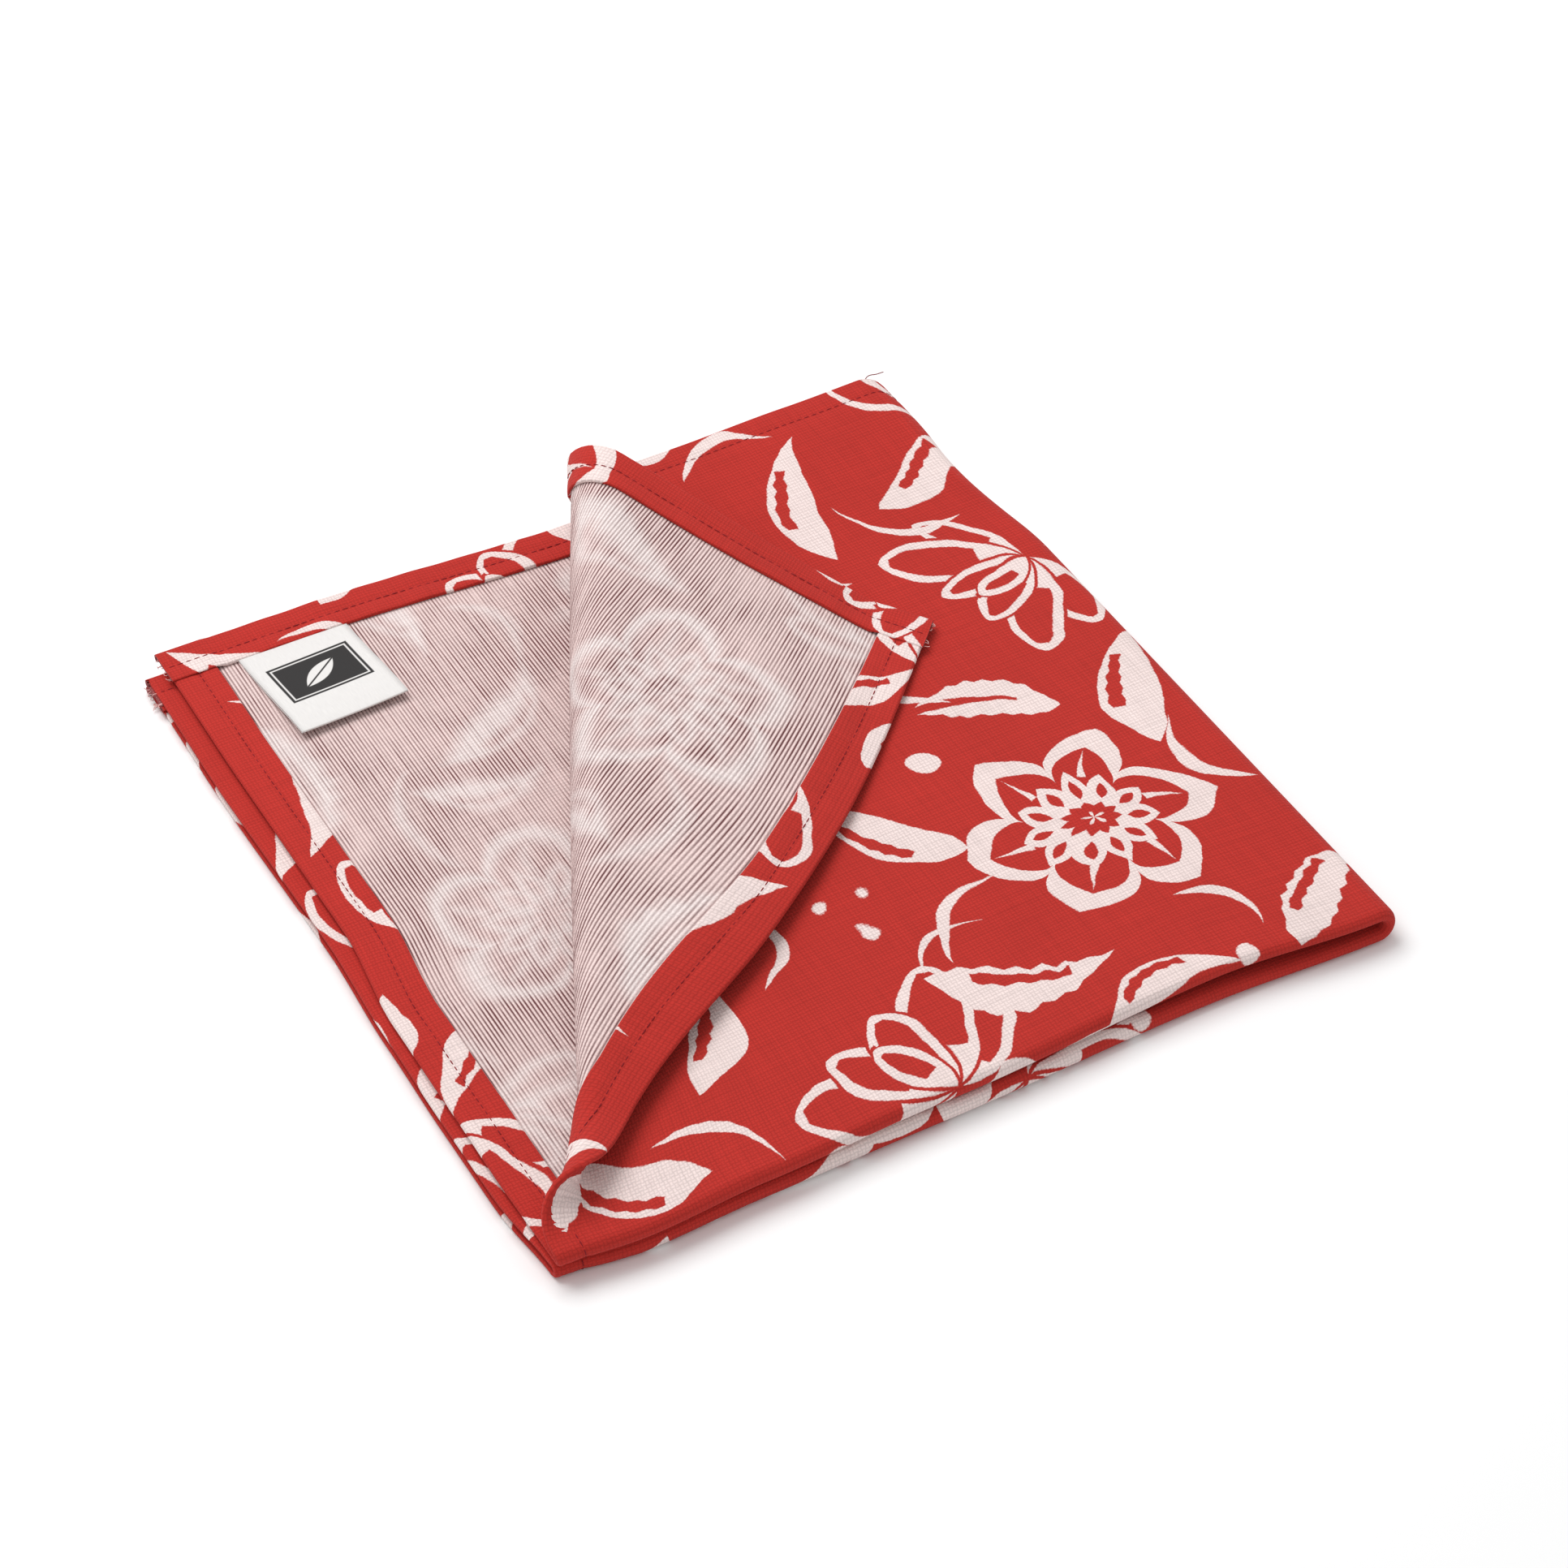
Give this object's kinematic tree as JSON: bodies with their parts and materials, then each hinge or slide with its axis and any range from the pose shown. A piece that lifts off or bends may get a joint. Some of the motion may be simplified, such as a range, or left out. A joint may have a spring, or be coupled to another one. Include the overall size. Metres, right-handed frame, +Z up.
{
  "type": "folded cloth napkin",
  "caption": "Square hemmed cotton table napkin folded in quarters, lying flat, with its top corner rolled back to show the wrong side and a sewn-in label.",
  "frame": {"origin": "centre of the bounding box's bottom, on the surface that the napkin lies on", "axes": "+Z up out of that surface; +Y from the first fold back to the hemmed edges, the package's longest extent; +X from the hemmed left side to the second fold"},
  "size_m": [0.2584, 0.2724, 0.038],
  "materials": {
    "printed_cotton": "plain woven cotton, screen printed in red with a white floral pattern on the right side; the wrong side is off-white with fine brownish-red ribs and a faint show-through of the print; matt",
    "satin_tape": null
  },
  "bodies": {
    "root": {"napkin": "printed_cotton", "label": "satin_tape"}
  },
  "joints": []
}
